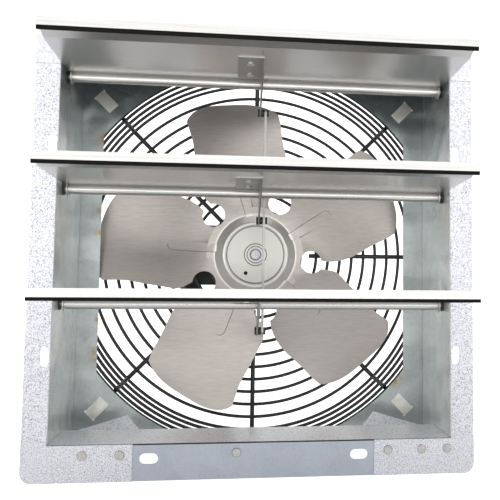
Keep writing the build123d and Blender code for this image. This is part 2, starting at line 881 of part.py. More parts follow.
# Shaft and rotor core
shaft_rear = motor_rear - bell_end_wall / 2

with BuildPart() as motor_shaft:
    with BuildSketch(front_plane(shaft_rear)):
        Circle(shaft_r)
    extrude(amount=shaft_rear - hub_disc_front + shaft_nose)
    chamfer(motor_shaft.edges().filter_by(GeomType.CIRCLE), length=shaft_r / 8)
save(motor_shaft.part, "motor_shaft")

with BuildPart() as rotor_core:
    with BuildSketch(front_plane(core_rear)):
        Circle(core_r)
        Circle(shaft_r, mode=Mode.SUBTRACT)
    extrude(amount=core_length)
save(rotor_core.part, "rotor_core")


# Fan: dished centre with a round bead, five twisted blades cut to their outline, and ribs
def polar_point(radius, angle):
    """A point of the front view, its angle counter-clockwise from +X."""
    return (radius * cos(radians(angle)), radius * sin(radians(angle)))


def blade_station(share, pitch, depth, rib_angle):
    """Plane across a blade, its X along the chord toward the trailing edge."""
    turn = radians(rib_angle)
    tilt = radians(pitch)
    x, z = polar_point(share * fan_r, rib_angle)
    return Plane(
        origin=(x, depth, z),
        x_dir=(-sin(turn) * cos(tilt), -sin(tilt), cos(turn) * cos(tilt)),
        z_dir=(cos(turn), 0, sin(turn)),
    )


def build_blade_sheet(rib_angle, rise):
    """The twisted, cambered sheet of one blade, its front face raised by rise."""
    half = blade_sheet / 2
    middle = (blade_trail_width - blade_lead_width) / 2
    with BuildPart() as blade_body:
        for share, pitch, setback, camber in zip(
            blade_station_shares, blade_pitch_degrees, blade_mid_setbacks, blade_cambers
        ):
            depth = hub_disc_front + setback
            with BuildSketch(blade_station(share, pitch, depth, rib_angle)):
                with BuildLine():
                    back = ThreePointArc(
                        (-blade_lead_width, -half), (middle, -camber - half), (blade_trail_width, -half)
                    )
                    front = ThreePointArc(
                        (blade_trail_width, half + rise),
                        (middle, half + rise - camber),
                        (-blade_lead_width, half + rise),
                    )
                    Line(back @ 1, front @ 0)
                    Line(front @ 1, back @ 0)
                make_face()
        loft()
    return blade_body.part


def build_blade(rib_angle):
    """One blade, its sheet cut to the outline seen from the front."""
    lead = [
        polar_point(share * fan_r, rib_angle + angle)
        for share, angle in zip(blade_lead_r_shares, blade_lead_degrees)
    ]
    trail = [
        polar_point(share * fan_r, rib_angle + angle)
        for share, angle in zip(blade_trail_r_shares, blade_trail_degrees)
    ]
    lead_corner, trail_corner = [
        polar_point(share * fan_r, rib_angle + angle)
        for share, angle in zip(blade_corner_r_shares, blade_corner_degrees)
    ]
    tip = polar_point(fan_r, rib_angle + sum(blade_corner_degrees) / 2)
    with BuildPart() as blade:
        add(build_blade_sheet(rib_angle, 0))
        with BuildSketch(front_plane(hub_disc_front)):
            with BuildLine():
                Spline(lead)
                Spline(lead[-1], lead_corner, tip, trail_corner, trail[0])
                Spline(trail)
                Line(trail[-1], lead[0])
            make_face()
        extrude(amount=blade_lead_width, both=True, mode=Mode.INTERSECT)
    return blade.part


def build_rib(rib_angle):
    """The raised rib along a blade, round at its ends and sloped at its sides."""
    side_slope = tan(radians(rib_side_degrees))
    middle = hub_disc_front + (blade_mid_setbacks[0] + blade_mid_setbacks[2]) / 2
    with BuildPart() as rib:
        add(build_blade_sheet(rib_angle, rib_height))
        with BuildSketch(front_plane(middle + rib_flare / side_slope)):
            with Locations(Rotation(0, 0, rib_angle)):
                with Locations(((rib_start_r + rib_end_r) / 2, -rib_shift)):
                    SlotOverall(rib_end_r - rib_start_r + 2 * rib_flare, rib_width + 2 * rib_flare)
        extrude(
            amount=(rib_width / 2 + rib_flare - rib_crest) / side_slope,
            taper=rib_side_degrees,
            mode=Mode.INTERSECT,
        )
    return rib.part


rib_angles = [first_rib_angle + index * 360 / blade_count for index in range(blade_count)]

with BuildPart() as fan_blades:
    with BuildSketch(side_plane(0)):
        front = hub_disc_front
        with BuildLine():
            Line((front, hub_boss_r), (front, bead_r - bead_half_width))
            ThreePointArc(
                (front, bead_r - bead_half_width),
                (front - bead_height, bead_r),
                (front, bead_r + bead_half_width),
            )
            Polyline(
                (front, bead_r + bead_half_width),
                (front + dish_depth, slope_r),
                (front + dish_depth, dish_r),
                (front + dish_depth + blade_sheet, dish_r),
                (front + dish_depth + blade_sheet, slope_r),
                (front + blade_sheet, bead_r + bead_half_width),
                (front + blade_sheet, hub_boss_r),
                (front, hub_boss_r),
            )
        make_face()
    revolve(axis=Axis.Y)
    for rib_angle in rib_angles:
        add(build_blade(rib_angle))
        add(build_rib(rib_angle))
    with BuildSketch(front_plane(front + dish_depth)):
        with Locations(polar_point(balance_hole_place_r, balance_hole_degrees)):
            Circle(balance_hole_r)
        for rib_angle in rib_angles:
            with Locations(polar_point(root_notch_place_r, rib_angle + root_notch_degrees)):
                Circle(root_notch_r)
    extrude(amount=4 * dish_depth, both=True, mode=Mode.SUBTRACT)
save(fan_blades.part, "fan_blades")


# Hub: a boss that passes through the fan's centre, with a flange behind it
with BuildPart() as fan_hub:
    hub_front = hub_disc_front - hub_front_land
    flange_front = hub_disc_front + blade_sheet
    with BuildSketch(front_plane(hub_front + hub_length)):
        Circle(hub_boss_r)
    extrude(amount=hub_length)
    front_rim = fan_hub.edges().filter_by(GeomType.CIRCLE).sort_by(Axis.Y)[0]
    chamfer(front_rim, length=hub_front_land / 2)
    with BuildSketch(front_plane(hub_front)):
        Circle(hub_nose_r)
    extrude(amount=hub_front_land / 2)
    with BuildSketch(front_plane(flange_front + hub_flange_thick)):
        Circle(hub_flange_r)
    extrude(amount=hub_flange_thick)
    with BuildSketch(front_plane(hub_front + hub_length)):
        Circle(shaft_r)
    extrude(amount=hub_length + hub_front_land, mode=Mode.SUBTRACT)
    screw_depth = flange_front + hub_length / 2
    with BuildSketch(side_plane(0)):
        with Locations((screw_depth, 0)):
            Circle(set_screw_r)
    extrude(amount=hub_boss_r + overrun, mode=Mode.SUBTRACT)
save(fan_hub.part, "fan_hub")

with BuildPart() as hub_set_screw:
    with BuildSketch(side_plane(shaft_r)):
        with Locations((screw_depth, 0)):
            Circle(set_screw_r)
    extrude(amount=hub_boss_r - shaft_r)
    with BuildSketch(side_plane(hub_boss_r)):
        with Locations((screw_depth, 0)):
            RegularPolygon(set_screw_r / 2, 6)
    extrude(amount=-set_screw_r, mode=Mode.SUBTRACT)
save(hub_set_screw.part, "hub_set_screw")


# Terminal box: a flat-floored box on the motor's left side, open to the left under its
# cover, and the two saddle feet that seat its floor on the round motor
box_right = -motor_r
box_left = box_right - terminal_box_reach
box_rear = terminal_box_start + terminal_box_depth
box_low = -terminal_box_height / 2
post_z = terminal_box_height / 2 - cover_screw_inset
post_front = terminal_box_start + cover_screw_inset
post_rear = box_rear - cover_screw_inset
post_places = [(depth, side * post_z) for depth in (post_front, post_rear) for side in (1, -1)]
gland_x = (box_left - motor_r) / 2
gland_depth = box_rear - gland_collar_r - terminal_box_wall
inner_half = terminal_box_height / 2 - terminal_box_wall

with BuildPart() as terminal_box_saddle:
    with BuildSketch(side_plane(box_right)):
        with Locations(((terminal_box_start + box_rear) / 2, 0)):
            Rectangle(terminal_box_depth, terminal_box_height)
            Rectangle(terminal_box_depth, saddle_gap, mode=Mode.SUBTRACT)
    extrude(amount=saddle_reach)
    with BuildSketch(front_plane(box_rear + overrun)):
        Circle(motor_r)
    extrude(amount=terminal_box_depth + 2 * overrun, mode=Mode.SUBTRACT)
save(terminal_box_saddle.part, "terminal_box_saddle")

with BuildPart() as terminal_box:
    with BuildSketch(side_plane(box_left)):
        with Locations(((terminal_box_start + box_rear) / 2, 0)):
            Rectangle(terminal_box_depth, terminal_box_height)
    extrude(amount=box_right - box_left)
    with BuildSketch(side_plane(box_left)):
        with Locations(((terminal_box_start + box_rear) / 2, 0)):
            Rectangle(terminal_box_depth - 2 * terminal_box_wall, 2 * inner_half)
    extrude(amount=box_right - box_left - terminal_box_wall, mode=Mode.SUBTRACT)
    with BuildSketch(side_plane(box_left)):
        with Locations(*post_places):
            Circle(screw_post_r)
    extrude(amount=screw_post_length)
    with BuildSketch(side_plane(box_left)):
        with Locations(*post_places):
            Circle(cover_screw_r)
    extrude(amount=cover_screw_length, mode=Mode.SUBTRACT)
    with BuildSketch(Plane.XY.offset(box_low - overrun)):
        with Locations((gland_x, gland_depth)):
            Circle(gland_hole_r)
    extrude(amount=terminal_box_wall + overrun, mode=Mode.SUBTRACT)
    with BuildSketch(side_plane(-motor_r - 2 * terminal_box_wall)):
        with Locations((wire_hole_depth, 0)):
            Circle(gland_bore_r)
    extrude(amount=3 * terminal_box_wall, mode=Mode.SUBTRACT)
save(terminal_box.part, "terminal_box")

with BuildPart() as terminal_box_cover:
    with BuildSketch(side_plane(box_left - terminal_cover_thick)):
        with Locations(((terminal_box_start + box_rear) / 2, 0)):
            RectangleRounded(terminal_box_depth, terminal_box_height, terminal_box_wall)
        with Locations(*post_places):
            Circle(cover_screw_r + rivet_clear, mode=Mode.SUBTRACT)
    extrude(amount=terminal_cover_thick)
save(terminal_box_cover.part, "terminal_box_cover")

with BuildPart() as terminal_cover_screws:
    with BuildSketch(side_plane(box_left - terminal_cover_thick)):
        with Locations(*post_places):
            Circle(cover_screw_r)
    extrude(amount=terminal_cover_thick + cover_screw_length)
    with BuildSketch(side_plane(box_left - terminal_cover_thick)):
        with Locations(*post_places):
            Circle(cover_screw_head_r)
    extrude(amount=-cover_screw_head_height)
save(terminal_cover_screws.part, "terminal_cover_screws")

with BuildPart() as run_capacitor:
    capacitor_x = box_left + screw_post_length + capacitor_r + rivet_clear
    capacitor_z = inner_half - capacitor_r - rivet_clear
    with BuildSketch(front_plane(terminal_box_start + terminal_box_wall + capacitor_length)):
        with Locations((capacitor_x, capacitor_z)):
            Circle(capacitor_r)
    extrude(amount=capacitor_length - rivet_clear)
save(run_capacitor.part, "run_capacitor")

with BuildPart() as terminal_block:
    block_front = terminal_box_start + terminal_box_wall + 2 * screw_post_r + overrun
    with BuildSketch(Plane.XY.offset(-inner_half)):
        with Locations((gland_x, block_front)):
            Rectangle(block_length, block_width)
    extrude(amount=block_height)
    with BuildSketch(Plane.XY.offset(-inner_half + block_height)):
        with Locations((gland_x, block_front)):
            with GridLocations(block_length / 3, block_width, 3, 1):
                Circle(cover_screw_r)
    extrude(amount=-block_height / 2, mode=Mode.SUBTRACT)
save(terminal_block.part, "terminal_block")


# Cable gland in the box's lower wall: body, sealing nut outside and locknut inside
gland_plane = Plane(origin=(gland_x, gland_depth, box_low), z_dir=(0, 0, -1))

with BuildPart() as cable_gland:
    inside_length = terminal_box_wall + gland_nut_height / 2
    with BuildSketch(gland_plane.offset(-inside_length)):
        Circle(gland_hole_r - rivet_clear)
    extrude(amount=inside_length)
    with BuildSketch(gland_plane):
        RegularPolygon(gland_collar_r, 6)
    extrude(amount=gland_collar_height)
    with BuildSketch(gland_plane.offset(gland_collar_height)):
        Circle(gland_hole_r - gland_thread_clear)
    extrude(amount=gland_nut_height - terminal_box_wall)
    with BuildSketch(gland_plane.offset(-inside_length)):
        Circle(gland_bore_r)
    extrude(amount=gland_length + inside_length, mode=Mode.SUBTRACT)
save(cable_gland.part, "cable_gland")

with BuildPart() as gland_nut:
    with BuildSketch(gland_plane.offset(gland_collar_height)):
        RegularPolygon(gland_nut_r, 6)
    extrude(amount=gland_nut_height)
    chamfer(gland_nut.faces().sort_by(Axis.Z)[0].edges(), length=terminal_box_wall)
    with BuildSketch(gland_plane.offset(gland_collar_height)):
        Circle(gland_hole_r)
    extrude(amount=gland_nut_height - terminal_box_wall, mode=Mode.SUBTRACT)
    with BuildSketch(gland_plane):
        Circle(gland_bore_r)
    extrude(amount=gland_length, mode=Mode.SUBTRACT)
save(gland_nut.part, "gland_nut")

with BuildPart() as gland_locknut:
    with BuildSketch(gland_plane.offset(-terminal_box_wall)):
        RegularPolygon(gland_collar_r - terminal_box_wall / 2, 6)
        Circle(gland_hole_r, mode=Mode.SUBTRACT)
    extrude(amount=-gland_nut_height / 3)
save(gland_locknut.part, "gland_locknut")
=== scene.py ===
"""Shutter exhaust fan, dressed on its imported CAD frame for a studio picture.

The sections follow the fan as it is put together. Each holds one kind of piece with the
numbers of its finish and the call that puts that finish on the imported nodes, which already
ride on their bodies. Lengths are metres.
"""
import math

import bpy
from mathutils import Matrix, Vector

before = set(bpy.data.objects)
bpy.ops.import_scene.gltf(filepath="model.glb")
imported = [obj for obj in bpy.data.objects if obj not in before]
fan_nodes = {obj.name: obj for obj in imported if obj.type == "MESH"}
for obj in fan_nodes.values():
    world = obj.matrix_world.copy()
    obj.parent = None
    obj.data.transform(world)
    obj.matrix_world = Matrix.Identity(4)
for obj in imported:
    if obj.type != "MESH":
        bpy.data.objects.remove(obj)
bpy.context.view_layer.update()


# Studio: a white table top and a lit paper behind the fan, soft lights above and in front,
# and a camera that looks in from the shutter side, a little left of the middle and below it.
camera_place = Vector((-0.0202, -0.5914, -0.0168))
camera_pitch = 0.0724
camera_yaw = -0.1216
camera_roll = -0.0096
camera_lens_mm = 49.92
camera_sensor_mm = 36.0
camera_near = 0.01

camera_data = bpy.data.cameras.new("studio_camera")
camera_data.sensor_width = camera_sensor_mm
camera_data.lens = camera_lens_mm
camera_data.shift_x = -0.14
camera_data.shift_y = -0.056
camera_data.clip_start = camera_near
camera = bpy.data.objects.new("studio_camera", camera_data)
bpy.context.scene.collection.objects.link(camera)


def fitted_turn(pitch, yaw, roll):
    """Camera matrix from the three turns that were fitted to the photograph."""
    tilt = Matrix.Rotation(pitch, 3, "X")
    swing = Matrix.Rotation(yaw, 3, "Z")
    lean = Matrix.Rotation(roll, 3, "Y")
    right_forward_up = swing @ tilt @ lean
    right = right_forward_up.col[0]
    forward = right_forward_up.col[1]
    up = right_forward_up.col[2]
    return Matrix((right, up, -forward)).transposed().to_4x4()


camera.matrix_world = Matrix.Translation(camera_place) @ fitted_turn(
    camera_pitch, camera_yaw, camera_roll
)
bpy.context.scene.camera = camera

bpy.context.scene.view_settings.view_transform = "Standard"
bpy.context.scene.view_settings.look = "None"


def start_finish(name, color, metallic, roughness):
    """New material with its shader set; returns the material, its node tree and its shader."""
    material = bpy.data.materials.new(name)
    material.use_nodes = True
    shader = material.node_tree.nodes["Principled BSDF"]
    shader.inputs["Base Color"].default_value = (*color, 1)
    shader.inputs["Metallic"].default_value = metallic
    shader.inputs["Roughness"].default_value = roughness
    return material, material.node_tree, shader


def feed(tree, socket, value):
    """Links an input to another node's output, or sets it to a number or a colour."""
    if isinstance(value, bpy.types.NodeSocket):
        tree.links.new(value, socket)
    elif socket.type == "RGBA":
        socket.default_value = (*value, 1)
    else:
        socket.default_value = value


def mixed(tree, share, under, over, kind="RGBA", blend="MIX"):
    """Lays one colour or number over another by a share from 0 to 1."""
    mix = tree.nodes.new("ShaderNodeMix")
    mix.data_type = kind
    mix.blend_type = blend
    feed(tree, mix.inputs["Factor"], share)
    feed(tree, mix.inputs["A"], under)
    feed(tree, mix.inputs["B"], over)
    return mix.outputs["Result"]


def ramp(tree, value, start, end, low=0.0, high=1.0, interpolation="LINEAR"):
    """Goes from low to high while the value goes from start to end, and stays there."""
    slope = tree.nodes.new("ShaderNodeMapRange")
    slope.interpolation_type = interpolation
    slope.inputs["From Min"].default_value = start
    slope.inputs["From Max"].default_value = end
    slope.inputs["To Min"].default_value = low
    slope.inputs["To Max"].default_value = high
    tree.links.new(value, slope.inputs["Value"])
    return slope.outputs["Result"]


def lit_paper(name, tone, glow, mirrored_tone, mirrored_glow):
    """White paper lit from behind; what the metal mirrors of it is dimmer or brighter."""
    seen_white = (tone, tone, tone)
    mirrored_white = (mirrored_tone, mirrored_tone, mirrored_tone)
    paper, tree, shader = start_finish(name, seen_white, 0.0, 0.7)
    shader.inputs["Emission Color"].default_value = (1, 1, 1, 1)
    seen = tree.nodes.new("ShaderNodeLightPath").outputs["Is Camera Ray"]
    white = mixed(tree, seen, mirrored_white, seen_white)
    tree.links.new(white, shader.inputs["Base Color"])
    strength = ramp(tree, seen, 0.0, 1.0, mirrored_glow, glow)
    tree.links.new(strength, shader.inputs["Emission Strength"])
    return paper


def set_paper(name, place, turn, width, depth, paper):
    """Stands or lays one flat sheet of paper in the studio."""
    bpy.ops.object.select_all(action="DESELECT")
    bpy.ops.mesh.primitive_plane_add(size=1, location=place, rotation=turn)
    flat = bpy.context.object
    flat.name = name
    flat.scale = (width, depth, 1.0)
    bpy.ops.object.transform_apply(location=True, rotation=True, scale=True)
    flat.data.materials.append(paper)


table_height = -0.1876
table_width = 6.0
table_tone = 0.85
table_glow = 0.72
for paper_name, front_edge, back_edge, mirrored_tone, mirrored_glow in (
    ("studio_table", -0.3, 3.0, 0.50, 0.33),
    ("studio_table_near", -1.2, -0.3, 0.50, 0.35),
    ("studio_table_far", -4.3, -1.2, 0.80, 2.00),
):
    set_paper(
        paper_name,
        (0, (front_edge + back_edge) / 2, table_height),
        (0, 0, 0),
        table_width,
        back_edge - front_edge,
        lit_paper(paper_name, table_tone, table_glow, mirrored_tone, mirrored_glow),
    )

backdrop_place = (0, 2.2, 1.2)
backdrop_width = 7.0
backdrop_height = 4.0
upright = (math.radians(90), 0, 0)
set_paper(
    "studio_backdrop",
    backdrop_place,
    upright,
    backdrop_width,
    backdrop_height,
    lit_paper("studio_backdrop", 1.0, 1.0, 0.50, 0.75),
)

studio_world = bpy.data.worlds.new("studio_world")
studio_world.use_nodes = True
room_light = studio_world.node_tree.nodes["Background"]
room_light.inputs["Color"].default_value = (0.80, 0.82, 0.84, 1)
room_light.inputs["Strength"].default_value = 0.45
bpy.context.scene.world = studio_world

for light_name, place, aim, width, height, watts in (
    ("front_softbox", (-0.15, -1.7, 0.62), (-0.15, 0, 0.62), 2.6, 1.4, 13.0),
    ("left_softbox", (-1.5, -0.9, 0.4), (0, 0, 0), 1.3, 1.1, 5.5),
    ("right_softbox", (1.45, -1.25, 0.75), (0, 0, 0), 1.1, 0.9, 5.0),
    ("top_softbox", (0, -0.3, 1.5), (0, 0, 0), 1.6, 1.6, 16.0),
):
    light_data = bpy.data.lights.new(light_name, "AREA")
    light_data.shape = "RECTANGLE"
    light_data.size = width
    light_data.size_y = height
    light_data.energy = watts
    light = bpy.data.objects.new(light_name, light_data)
    bpy.context.scene.collection.objects.link(light)
    light.location = place
    light.rotation_euler = (Vector(aim) - Vector(place)).to_track_quat("-Z", "Y").to_euler()


# Side members: galvanised sheet folded into a channel, with a spangled flange in front and
# smoother walls inside. The wings behind carry the guard and have a few rust stains at
# their edges. The wings and the top of the walls' inside carry painted shade and painted
# reflection as a darker zinc.
def wear_finish(node_names, material):
    """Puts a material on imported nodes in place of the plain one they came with."""
    for node_name in node_names:
        slots = fan_nodes[node_name].data.materials
        slots.clear()
        slots.append(material)


def start_group(name, takes, gives):
    """New node group; takes and gives are its sockets, each with a name and a kind."""
    tree = bpy.data.node_groups.new(name, "ShaderNodeTree")
    for in_out, sockets in (("INPUT", takes), ("OUTPUT", gives)):
        for socket_name, kind in sockets:
            tree.interface.new_socket(
                socket_name, in_out=in_out, socket_type=f"NodeSocket{kind}"
            )
    given = tree.nodes.new("NodeGroupInput").outputs
    result = tree.nodes.new("NodeGroupOutput").inputs
    return tree, given, result


def add_group(tree, group, settings):
    """Places a node group in a material with its own values and returns its outputs."""
    node = tree.nodes.new("ShaderNodeGroup")
    node.node_tree = group
    for socket_name, value in settings.items():
        feed(tree, node.inputs[socket_name], value)
    return node.outputs


def object_place(tree):
    """Where a point of the piece is, as one vector and as its X, Y and Z."""
    place = tree.nodes.new("ShaderNodeTexCoord").outputs["Object"]
    axes = tree.nodes.new("ShaderNodeSeparateXYZ")
    tree.links.new(place, axes.inputs["Vector"])
    return place, axes.outputs


def noise(tree, place, scale, detail, roughness=0.5, distortion=0.0):
    """Soft irregular patches from 0 to 1."""
    patches = tree.nodes.new("ShaderNodeTexNoise")
    tree.links.new(place, patches.inputs["Vector"])
    feed(tree, patches.inputs["Scale"], scale)
    patches.inputs["Detail"].default_value = detail
    patches.inputs["Roughness"].default_value = roughness
    patches.inputs["Distortion"].default_value = distortion
    return patches.outputs["Fac"]


def reckon(tree, operation, *values):
    """One step of arithmetic on outputs or numbers."""
    step = tree.nodes.new("ShaderNodeMath")
    step.operation = operation
    for socket, value in zip(step.inputs, values):
        feed(tree, socket, value)
    return step.outputs["Value"]


def raise_relief(tree, shader, height, strength, depth):
    """Adds a fine relief on top of any that the shader already has."""
    relief = tree.nodes.new("ShaderNodeBump")
    relief.inputs["Strength"].default_value = strength
    relief.inputs["Distance"].default_value = depth
    tree.links.new(height, relief.inputs["Height"])
    normal = shader.inputs["Normal"]
    if normal.is_linked:
        tree.links.new(normal.links[0].from_socket, relief.inputs["Normal"])
    tree.links.new(relief.outputs["Normal"], normal)


def build_spangle_group():
    """Zinc crystals: soft cells of slightly different grey with small dark specks over them."""
    noise_share = 0.55
    speck_start, speck_full = 0.54, 0.60
    tree, given, result = start_group(
        "Zinc Spangle",
        (
            ("Crystal Scale", "Float"),
            ("Speck Scale", "Float"),
            ("Speck Amount", "Float"),
            ("Light Color", "Color"),
            ("Dark Color", "Color"),
            ("Speck Color", "Color"),
        ),
        (("Color", "Color"), ("Height", "Float")),
    )
    place = tree.nodes.new("ShaderNodeTexCoord").outputs["Object"]
    crystals = tree.nodes.new("ShaderNodeTexVoronoi")
    tree.links.new(place, crystals.inputs["Vector"])
    tree.links.new(given["Crystal Scale"], crystals.inputs["Scale"])
    cloud = noise(tree, place, given["Crystal Scale"], 5.0, 0.65)
    shade = mixed(tree, noise_share, crystals.outputs["Color"], cloud, kind="FLOAT")
    grey = mixed(tree, shade, given["Dark Color"], given["Light Color"])
    specks = noise(tree, place, given["Speck Scale"], 2.0, distortion=0.6)
    sharp_specks = ramp(tree, specks, speck_start, speck_full)
    amount = reckon(tree, "MULTIPLY", sharp_specks, given["Speck Amount"])
    speckled = mixed(tree, amount, grey, given["Speck Color"])
    tree.links.new(speckled, result["Color"])
    tree.links.new(specks, result["Height"])
    return tree


zinc_spangle = build_spangle_group()


def spangled(tree, crystal_scale, speck_scale, speck_amount, light, dark, speck):
    """Adds the zinc crystals to a material and returns the group's outputs."""
    return add_group(
        tree,
        zinc_spangle,
        {
            "Crystal Scale": crystal_scale,
            "Speck Scale": speck_scale,
            "Speck Amount": speck_amount,
            "Light Color": light,
            "Dark Color": dark,
            "Speck Color": speck,
        },
    )


flange_end, wall_start = 0.0002, 0.0012
wings_start, wings_full = 0.0895, 0.0905
top_shade_start, top_shade_full = 0.06, 0.165
# Painted shade: the darker zinc multiplied onto the wings and onto the top of the walls' inside.
wing_painted_shade = (0.58, 0.61, 0.61)
top_painted_shade = (0.52, 0.54, 0.55)
rust_brown = (0.42, 0.24, 0.07)
rust_core = 0.001
flange_roughness, wall_roughness = 0.38, 0.24
crystal_relief = 0.0002
wave_relief = 0.004

side_zinc, side_tree, side_shader = start_finish("side_zinc", (0.8, 0.8, 0.83), 0.60, 0.36)
side_place, side_axes = object_place(side_tree)
flange_crystals = spangled(
    side_tree, 700.0, 1500.0, 0.90, (0.87, 0.87, 0.91), (0.72, 0.72, 0.77), (0.20, 0.20, 0.24)
)
raise_relief(side_tree, side_shader, flange_crystals["Height"], 0.35, crystal_relief)
wall_crystals = spangled(
    side_tree, 28.0, 260.0, 0.14, (0.97, 0.98, 0.95), (0.62, 0.66, 0.67), (0.34, 0.36, 0.35)
)
behind_flange = ramp(side_tree, side_axes["Y"], flange_end, wall_start)
zinc_color = mixed(
    side_tree, behind_flange, flange_crystals["Color"], wall_crystals["Color"]
)
# Painted shade and painted reflection: a darker zinc on the wings and at the top of the walls'
# inside.
at_wings = ramp(side_tree, side_axes["Y"], wings_start, wings_full)
zinc_color = mixed(side_tree, at_wings, zinc_color, wing_painted_shade, blend="MULTIPLY")
near_top = ramp(
    side_tree, side_axes["Z"], top_shade_start, top_shade_full, interpolation="SMOOTHSTEP"
)
top_shade_share = reckon(side_tree, "MULTIPLY", near_top, behind_flange)
zinc_color = mixed(side_tree, top_shade_share, zinc_color, top_painted_shade, blend="MULTIPLY")
rust_grain = ramp(side_tree, noise(side_tree, side_place, 220.0, 4.0), 0.35, 0.60)
for stain_place, reach in (
    ((-0.1480, 0.0920, 0.1090), 0.010),
    ((-0.1480, 0.0920, 0.0420), 0.006),
    ((-0.1480, 0.0920, 0.0170), 0.007),
    ((-0.1480, 0.0920, -0.0640), 0.006),
    ((-0.1480, 0.0920, -0.0960), 0.011),
    ((0.1400, 0.0920, -0.1230), 0.009),
):
    away = side_tree.nodes.new("ShaderNodeVectorMath")
    away.operation = "DISTANCE"
    away.inputs[1].default_value = stain_place
    side_tree.links.new(side_place, away.inputs[0])
    near = ramp(side_tree, away.outputs["Value"], reach, rust_core)
    stained = reckon(side_tree, "MULTIPLY", near, rust_grain)
    zinc_color = mixed(side_tree, stained, zinc_color, rust_brown)
side_tree.links.new(zinc_color, side_shader.inputs["Base Color"])
wall_waves = noise(side_tree, side_place, 26.0, 1.5)
wall_height = reckon(side_tree, "MULTIPLY", wall_waves, behind_flange)
raise_relief(side_tree, side_shader, wall_height, 1.0, wave_relief)
side_gloss = ramp(side_tree, behind_flange, 0.0, 1.0, flange_roughness, wall_roughness)
side_tree.links.new(side_gloss, side_shader.inputs["Roughness"])
wear_finish(("side_member_left", "side_member_right"), side_zinc)


# Top and bottom panels: smoother, bluer galvanised sheet, folded into the rails that close
# the box between the side members. Behind the rails the sheet is lighter, partly its finer
# spangle and partly painted light that falls on the sill from above. The top one's inside is
# darkened with painted shade, and the bend between the bottom one's rail and its sill has a
# thin painted shadow.
rail_end, sill_start = 0.0001, 0.0011
upper_half_start, upper_half_full = 0.05, 0.10
top_panel_outside = 0.1681
# Painted shade for the top panel's inside, and a painted shadow along the bottom bend.
inside_painted_shade = (0.20, 0.21, 0.22)
bend_height, bend_shadow_reach, bend_shadow_depth = -0.1584, 0.00045, 0.0006
bend_painted_shadow = (0.02, 0.02, 0.025)

panel_zinc, panel_tree, panel_shader = start_finish("panel_zinc", (0.68, 0.73, 0.78), 0.60, 0.40)
_, panel_axes = object_place(panel_tree)
rail_crystals = spangled(
    panel_tree, 60.0, 1700.0, 0.42, (0.52, 0.56, 0.62), (0.42, 0.45, 0.51), (0.28, 0.30, 0.34)
)
raise_relief(panel_tree, panel_shader, rail_crystals["Height"], 0.12, crystal_relief)
# Partly painted light: the sill's spangle is lighter than the rail's, for the light that falls on
# it from above.
sill_spangle_and_light = spangled(
    panel_tree, 200.0, 700.0, 0.45, (0.97, 0.97, 0.99), (0.88, 0.89, 0.91), (0.34, 0.35, 0.38)
)
behind_rail = ramp(panel_tree, panel_axes["Y"], rail_end, sill_start)
panel_color = mixed(panel_tree, behind_rail, rail_crystals["Color"], sill_spangle_and_light["Color"])
# Painted shade: the top panel's inside, behind its rail and below its outside face, is darkened to
# about a fifth.
upper_half = ramp(panel_tree, panel_axes["Z"], upper_half_start, upper_half_full)
upper_back = reckon(panel_tree, "MULTIPLY", upper_half, behind_rail)
below_outside = reckon(panel_tree, "LESS_THAN", panel_axes["Z"], top_panel_outside)
top_inside_shade_share = reckon(panel_tree, "MULTIPLY", upper_back, below_outside)
panel_color = mixed(panel_tree, top_inside_shade_share, panel_color, inside_painted_shade, blend="MULTIPLY")
# Painted shadow: a thin near-black line along the bend between the bottom rail and its sill.
at_bend = reckon(panel_tree, "COMPARE", panel_axes["Z"], bend_height, bend_shadow_reach)
in_front = reckon(panel_tree, "LESS_THAN", panel_axes["Y"], bend_shadow_depth)
shadowed_bend = reckon(panel_tree, "MULTIPLY", at_bend, in_front)
panel_color = mixed(panel_tree, shadowed_bend, panel_color, bend_painted_shadow)
panel_tree.links.new(panel_color, panel_shader.inputs["Base Color"])
wear_finish(("top_panel", "bottom_panel"), panel_zinc)


# Flange rivets: dull steel heads, a little browned. They are set through the flange along
# the bottom and the top, where its sheets meet.
def build_tarnish_group():
    """Soft patches that shift a finish between its clean colour and a tarnished one."""
    patch_start, patch_full = 0.35, 0.68
    tree, given, result = start_group(
        "Tarnish",
        (
            ("Scale", "Float"),
            ("Clean Color", "Color"),
            ("Tarnish Color", "Color"),
            ("Clean Roughness", "Float"),
            ("Tarnish Roughness", "Float"),
        ),
        (("Color", "Color"), ("Roughness", "Float"), ("Height", "Float")),
    )
    place = tree.nodes.new("ShaderNodeTexCoord").outputs["Object"]
    patches = noise(tree, place, given["Scale"], 6.0, 0.6)
    spread = ramp(tree, patches, patch_start, patch_full)
    tint = mixed(tree, spread, given["Clean Color"], given["Tarnish Color"])
    dullness = mixed(
        tree, spread, given["Clean Roughness"], given["Tarnish Roughness"], kind="FLOAT"
    )
    tree.links.new(tint, result["Color"])
    tree.links.new(dullness, result["Roughness"])
    tree.links.new(patches, result["Height"])
    return tree


tarnish_patches = build_tarnish_group()
patch_relief = 0.0002


def tarnished(name, scale, clean, tarnish, metallic, rough_clean, rough_tarnish, bump):
    """Material whose colour and gloss wander between a clean and a tarnished state."""
    material, tree, shader = start_finish(name, clean, metallic, rough_clean)
    patches = add_group(
        tree,
        tarnish_patches,
        {
            "Scale": scale,
            "Clean Color": clean,
            "Tarnish Color": tarnish,
            "Clean Roughness": rough_clean,
            "Tarnish Roughness": rough_tarnish,
        },
    )
    tree.links.new(patches["Color"], shader.inputs["Base Color"])
    tree.links.new(patches["Roughness"], shader.inputs["Roughness"])
    raise_relief(tree, shader, patches["Height"], bump, patch_relief)
    return material


rivet_steel = tarnished(
    "rivet_steel", 700.0, (0.66, 0.65, 0.63), (0.42, 0.40, 0.37), 0.85, 0.30, 0.50, 0.4
)
wear_finish(("flange_rivets",), rivet_steel)


